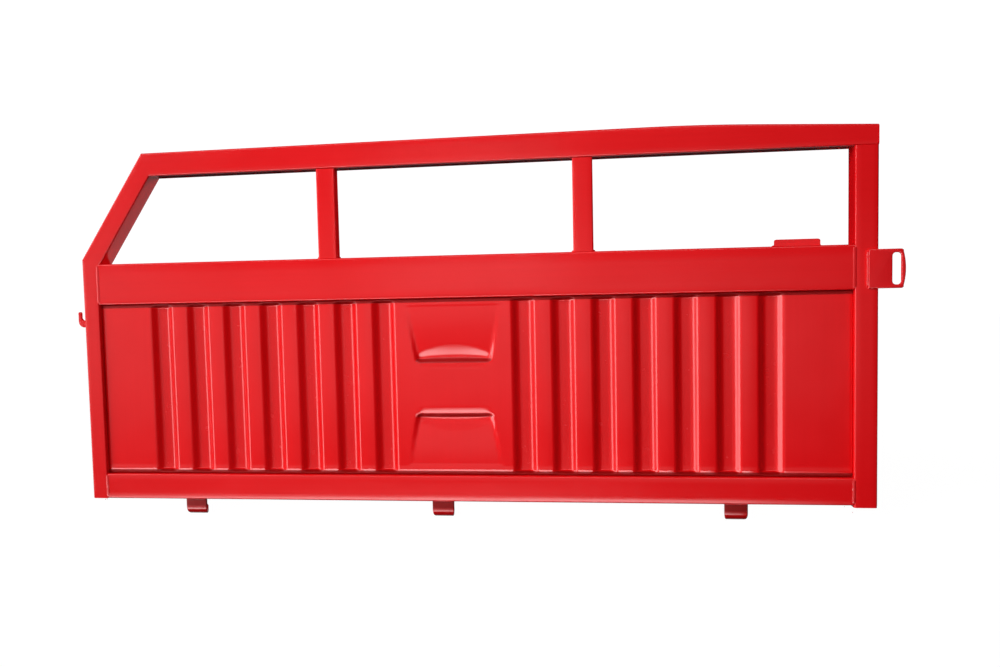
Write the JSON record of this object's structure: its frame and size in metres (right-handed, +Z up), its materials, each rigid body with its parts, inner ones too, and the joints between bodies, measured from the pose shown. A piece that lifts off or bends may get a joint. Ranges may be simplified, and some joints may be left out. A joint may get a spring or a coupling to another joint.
{
  "type": "livestock trailer side board",
  "caption": "Red painted tubular steel side board with a slanted front post, open upper windows, a grooved sheet infill, hinge hooks below and latch fittings at the ends.",
  "frame": {"origin": "middle of the bottom rail's underside, half way between the outer and inner faces", "axes": "+X along the board towards its rear end, +Y from the outer face towards the load bed, +Z up"},
  "size_m": [1.569, 0.0464, 0.72],
  "materials": {
    "frame_paint": "gloss",
    "panel_paint": "gloss",
    "fitting_paint": "gloss",
    "weld_paint": "gloss"
  },
  "bodies": {
    "root": {"bottom_rail": "frame_paint", "mid_rail": "frame_paint", "top_rail": "frame_paint", "front_upright": "frame_paint", "rake_post": "frame_paint", "rear_post": "frame_paint", "front_window_post": "frame_paint", "rear_window_post": "frame_paint", "front_foot_cap": "frame_paint", "rear_foot_cap": "frame_paint", "top_rail_end_cap": "frame_paint", "infill_panel": "panel_paint", "hinge_hook_front": "fitting_paint", "hinge_hook_middle": "fitting_paint", "hinge_hook_rear": "fitting_paint", "front_catch": "fitting_paint", "latch_plate": "fitting_paint", "stop_bracket": "fitting_paint", "bottom_rail_welds": "weld_paint", "mid_rail_welds": "weld_paint", "rake_post_welds": "weld_paint", "top_rail_weld": "weld_paint", "window_post_welds": "weld_paint", "hinge_hook_welds": "weld_paint", "latch_plate_weld": "weld_paint", "front_catch_welds": "weld_paint", "stop_bracket_welds": "weld_paint", "panel_stitch_welds": "weld_paint"}
  },
  "joints": []
}
